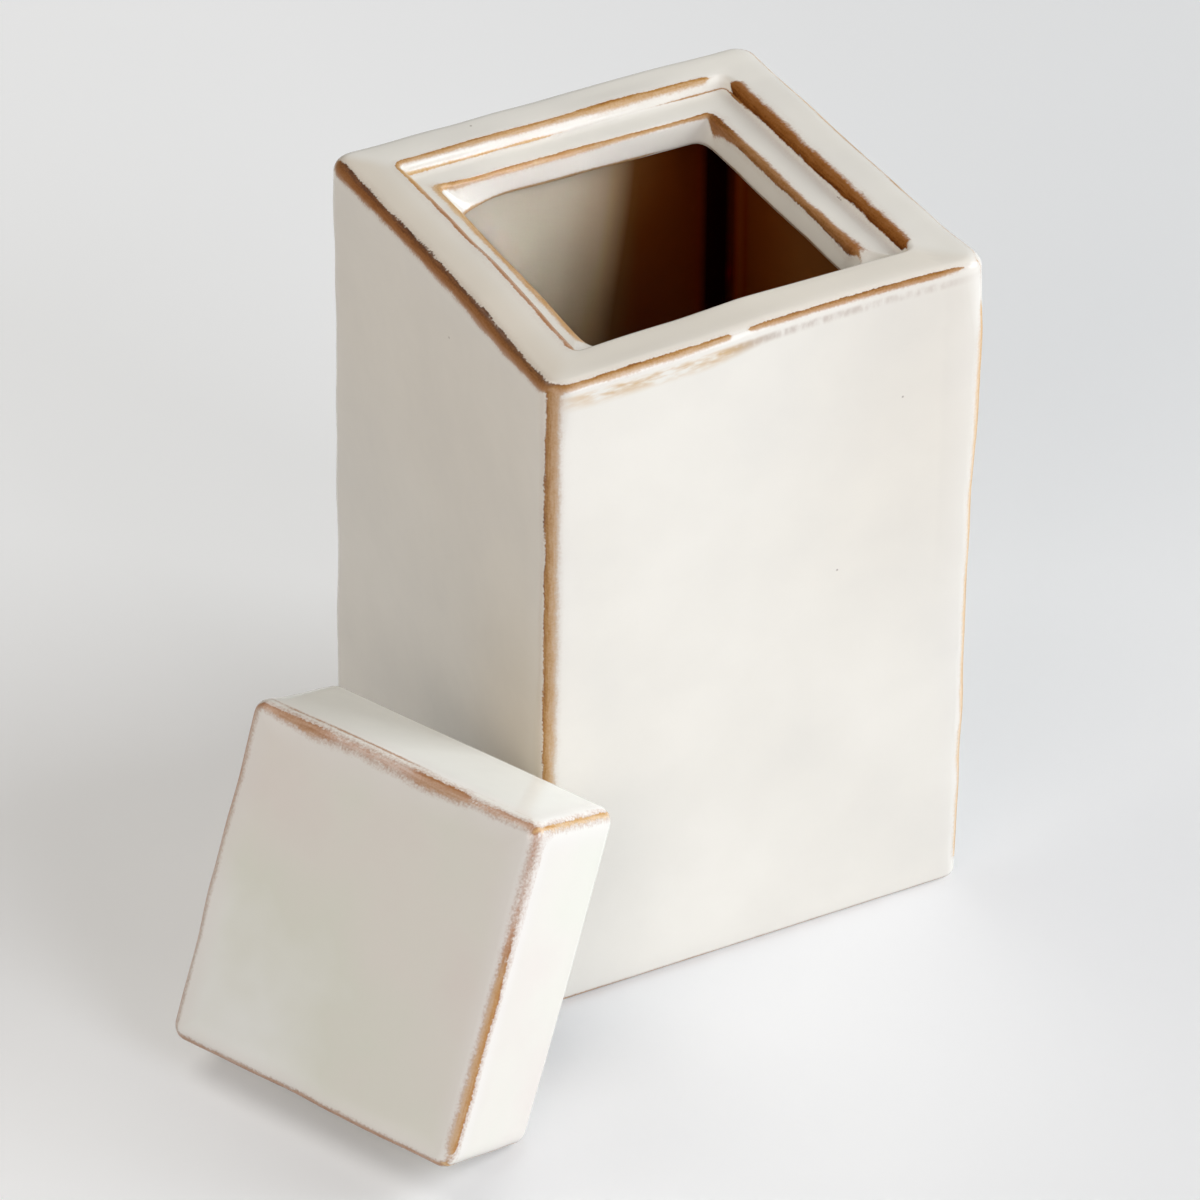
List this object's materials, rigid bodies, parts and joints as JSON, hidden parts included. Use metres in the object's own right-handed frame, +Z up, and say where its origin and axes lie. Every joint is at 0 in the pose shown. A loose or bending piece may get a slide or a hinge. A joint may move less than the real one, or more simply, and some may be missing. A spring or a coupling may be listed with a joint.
{
  "type": "ceramic lidded jar",
  "caption": "Square glazed ceramic jar with a sunk seat in its rim, and a thick square block lid that is off and leans on the jar's front edge.",
  "frame": {"origin": "middle of the jar body's underside, on the surface that it stands on", "axes": "+Z up; the jar's four faces look along X and Y, and the lid leans on the upright edge at -X, -Y"},
  "size_m": [0.1775, 0.1481, 0.1565],
  "materials": {
    "jar_glaze": "glossy cream glaze that breaks to brown on the edges",
    "lid_glaze": "glossy cream glaze that breaks to brown on the edges"
  },
  "bodies": {
    "jar": {"jar_body": "jar_glaze"},
    "lid": {"lid": "lid_glaze"}
  },
  "joints": [
    {"name": "lid_lift", "type": "slide", "parent": "jar", "child": "lid", "axis": [0, 0, 1], "range_m": [0, 0.18]}
  ]
}
